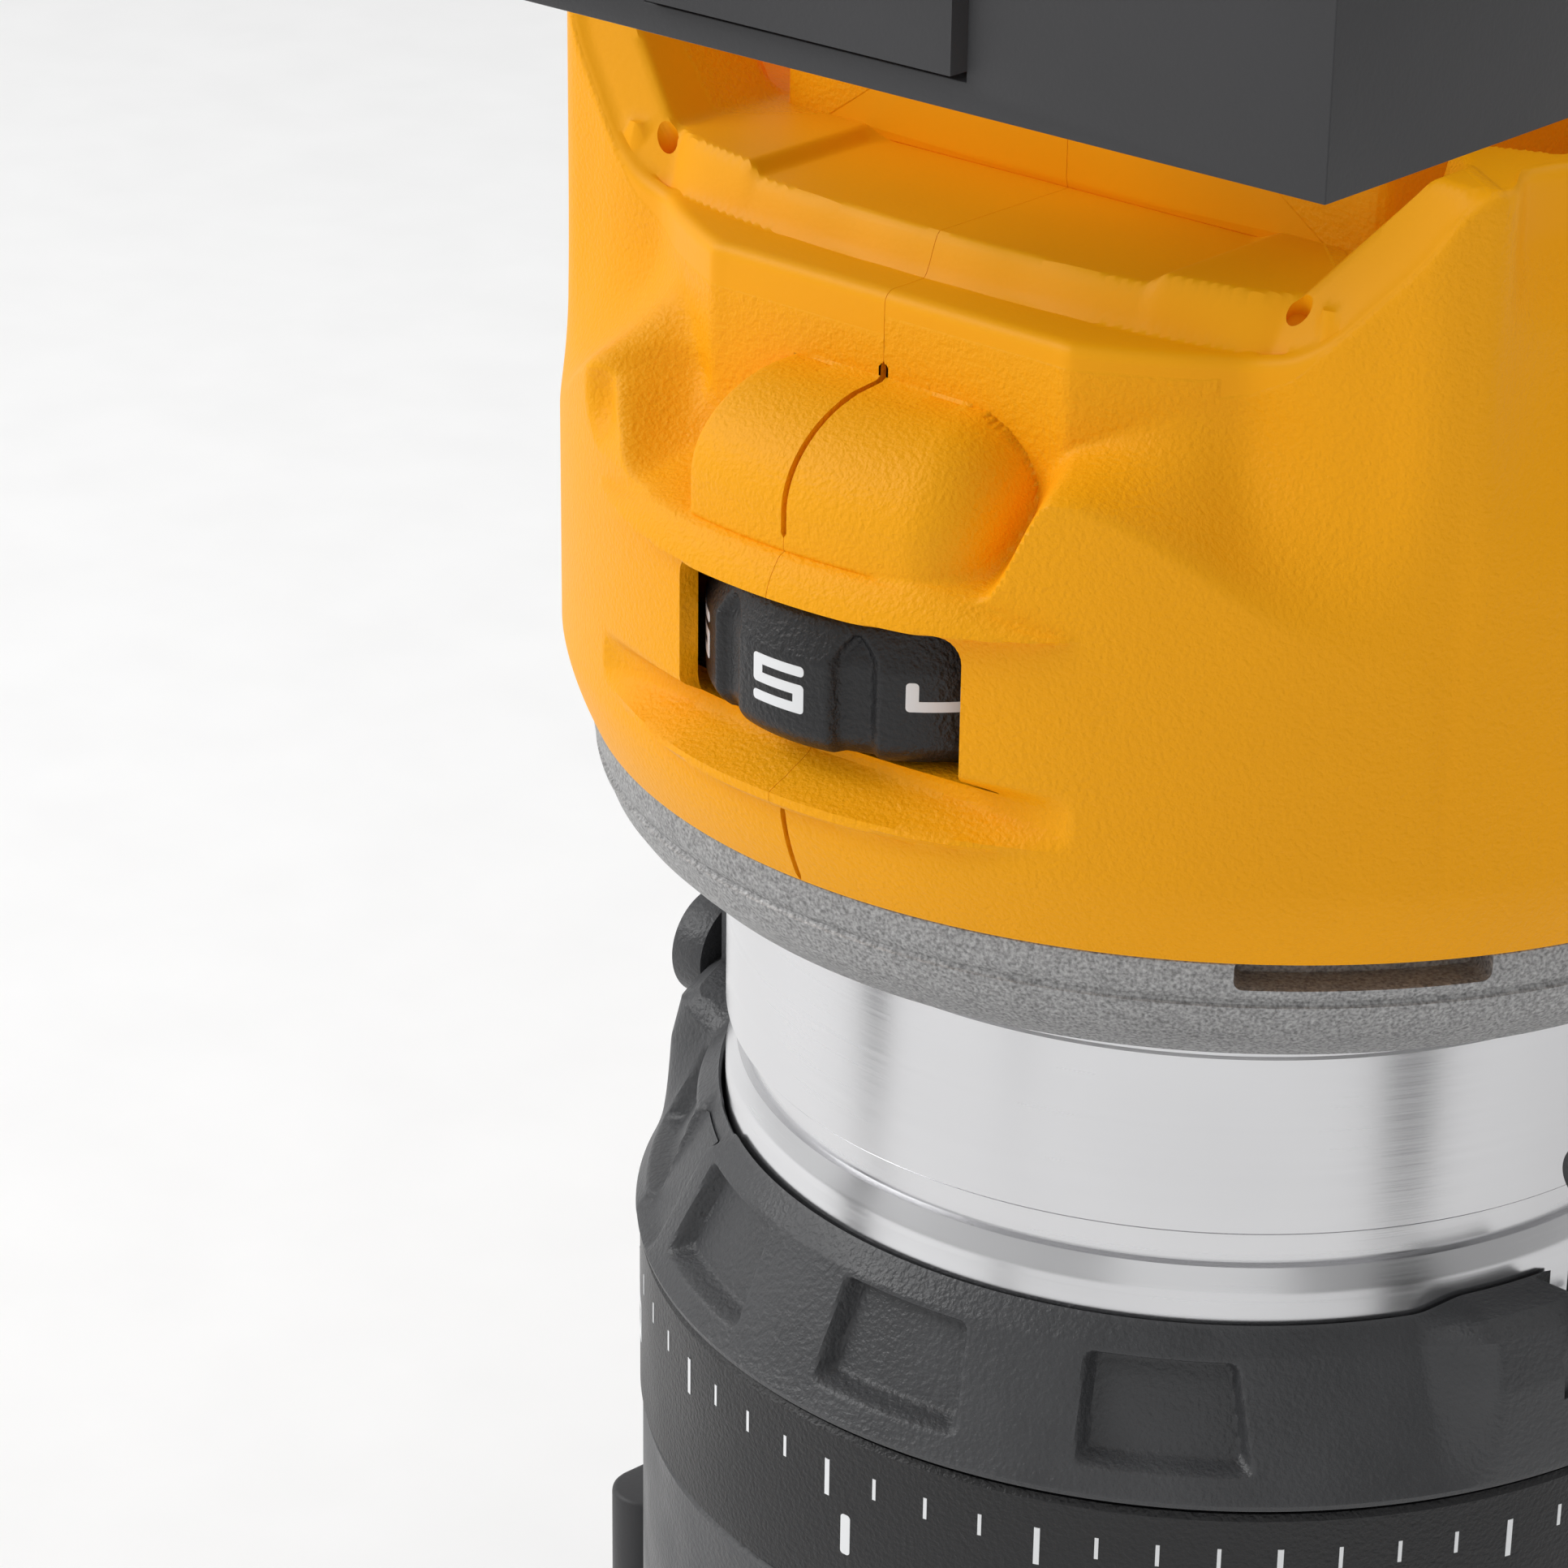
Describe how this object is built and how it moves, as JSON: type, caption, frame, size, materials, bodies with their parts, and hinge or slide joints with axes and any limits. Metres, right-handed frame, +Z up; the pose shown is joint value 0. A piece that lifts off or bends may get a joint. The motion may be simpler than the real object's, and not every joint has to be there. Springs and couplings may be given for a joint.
{
  "type": "trim router",
  "caption": "Cordless trim router: battery-powered motor pack with speed dial, held in a clamped fixed base with a threaded depth ring.",
  "frame": {"origin": "spindle axis at the underside of the sub-base", "axes": "+Z up along the spindle, the front with the speed dial faces -Y, +X is the router's own right-hand side seen from the front"},
  "size_m": [0.1085, 0.114, 0.214],
  "materials": {
    "yellow_shell": "fine spark texture",
    "black_plastic": "fine texture",
    "ring_plastic": "moulded glass-filled nylon",
    "dial_plastic": "fine texture",
    "turned_aluminium": "fine turned",
    "cast_alloy": "blasted casting",
    "base_alloy": "satin machined casting",
    "bright_steel": "bright zinc",
    "tool_steel": "ground",
    "lamination": "laminated",
    "copper_wire": "enamelled winding",
    "board_green": "solder mask",
    "contact_brass": "plated",
    "cell_wrap": "shrink wrap",
    "clear_lens": "clear",
    "lock_button": "smooth",
    "grey_button": "satin"
  },
  "bodies": {
    "base": {"sub_base": "black_plastic", "sub_base_screws": "bright_steel", "base_casting": "base_alloy", "guide_pins": "bright_steel", "clamp_bolt": "bright_steel", "clamp_nut": "bright_steel", "lever_pin": "bright_steel"},
    "clamp_lever": {"clamp_lever": "black_plastic"},
    "motor_pack": {"motor_tube": "turned_aluminium", "lower_bearing": "tool_steel", "stator_core": "lamination", "stator_coils": "copper_wire", "bearing_bridge": "base_alloy", "upper_bearing": "tool_steel", "sensor_board": "board_green", "led_lenses": "clear_lens", "front_plate": "cast_alloy", "plate_screws": "bright_steel", "housing_left": "yellow_shell", "housing_right": "yellow_shell", "housing_screws": "bright_steel", "dial_potentiometer": "grey_button", "control_module": "board_green", "heat_sink": "base_alloy", "motor_leads": "cell_wrap", "switch_body": "black_plastic", "battery_terminals": "black_plastic", "lock_spring": "bright_steel"},
    "spindle": {"spindle_shaft": "tool_steel", "rotor_core": "lamination", "rotor_magnets": "lamination", "cooling_fan": "black_plastic", "collet": "tool_steel"},
    "collet_nut": {"collet_nut": "tool_steel"},
    "spindle_lock": {"spindle_lock": "lock_button"},
    "depth_ring": {"depth_ring": "ring_plastic", "tab_pins": "bright_steel", "tab_springs": "bright_steel"},
    "scale_ring": {"scale_ring": "dial_plastic"},
    "release_tab_left": {"release_tab_left": "ring_plastic"},
    "release_tab_right": {"release_tab_right": "ring_plastic"},
    "speed_dial": {"speed_dial": "dial_plastic"},
    "power_switch": {"power_switch": "black_plastic"},
    "battery": {"battery_case_lower": "black_plastic", "battery_case_upper": "yellow_shell", "battery_screws": "bright_steel", "battery_cells": "cell_wrap", "battery_contacts": "contact_brass", "gauge_board": "board_green", "latch_spring": "bright_steel"},
    "battery_latch": {"battery_latch": "black_plastic"},
    "gauge_button": {"gauge_button": "grey_button"}
  },
  "joints": [
    {"name": "clamp_lever_swing", "type": "hinge", "parent": "base", "child": "clamp_lever", "pos_m": [-0.018, 0.047, 0.024], "axis": [0, 0, -1], "range_deg": [0, 85]},
    {"name": "depth_slide", "type": "slide", "parent": "base", "child": "motor_pack", "axis": [0, 0, 1], "range_m": [-0.009, 0.015]},
    {"name": "depth_ring_turn", "type": "hinge", "parent": "motor_pack", "child": "depth_ring", "pos_m": [0, 0, 0.08], "axis": [0, 0, 1], "range_deg": [-430, 258]},
    {"name": "scale_ring_turn", "type": "hinge", "parent": "depth_ring", "child": "scale_ring", "pos_m": [0, 0, 0.07], "axis": [0, 0, 1], "range_deg": [-180, 180]},
    {"name": "release_tab_left_press", "type": "hinge", "parent": "depth_ring", "child": "release_tab_left", "pos_m": [-0.0373, 0, 0.097], "axis": [0, 1, 0], "range_deg": [0, 9], "stiffness_Nm_per_rad": 0.35},
    {"name": "release_tab_right_press", "type": "hinge", "parent": "depth_ring", "child": "release_tab_right", "pos_m": [0.0373, 0, 0.097], "axis": [0, -1, 0], "range_deg": [0, 9], "stiffness_Nm_per_rad": 0.35},
    {"name": "spindle_spin", "type": "hinge", "parent": "motor_pack", "child": "spindle", "pos_m": [0, 0, 0.07], "axis": [0, 0, 1], "continuous": true},
    {"name": "collet_nut_turn", "type": "hinge", "parent": "spindle", "child": "collet_nut", "pos_m": [0, 0, 0.02], "axis": [0, 0, 1], "range_deg": [0, 540]},
    {"name": "spindle_lock_press", "type": "slide", "parent": "motor_pack", "child": "spindle_lock", "axis": [0, 1, 0], "range_m": [0, 0.0022], "stiffness_N_per_m": 900},
    {"name": "speed_dial_turn", "type": "hinge", "parent": "motor_pack", "child": "speed_dial", "pos_m": [0, -0.03285, 0.132], "axis": [0, 0, 1], "range_deg": [-180, 45]},
    {"name": "power_switch_rock", "type": "hinge", "parent": "motor_pack", "child": "power_switch", "pos_m": [0, 0.041, 0.137], "axis": [1, 0, 0], "range_deg": [-6, 6]},
    {"name": "battery_slide_off", "type": "slide", "parent": "motor_pack", "child": "battery", "axis": [0, -1, 0], "range_m": [0, 0.11]},
    {"name": "battery_latch_press", "type": "slide", "parent": "battery", "child": "battery_latch", "axis": [0, 1, 0], "range_m": [0, 0.003], "stiffness_N_per_m": 1200, "deforming": ["latch_spring"]},
    {"name": "gauge_button_press", "type": "slide", "parent": "battery", "child": "gauge_button", "axis": [0, 1, 0], "range_m": [0, 0.0008], "stiffness_N_per_m": 1500}
  ],
  "couplings": [
    {"joint": "depth_ring_turn", "follows": "depth_slide", "rad_per_m": -494.74}
  ]
}
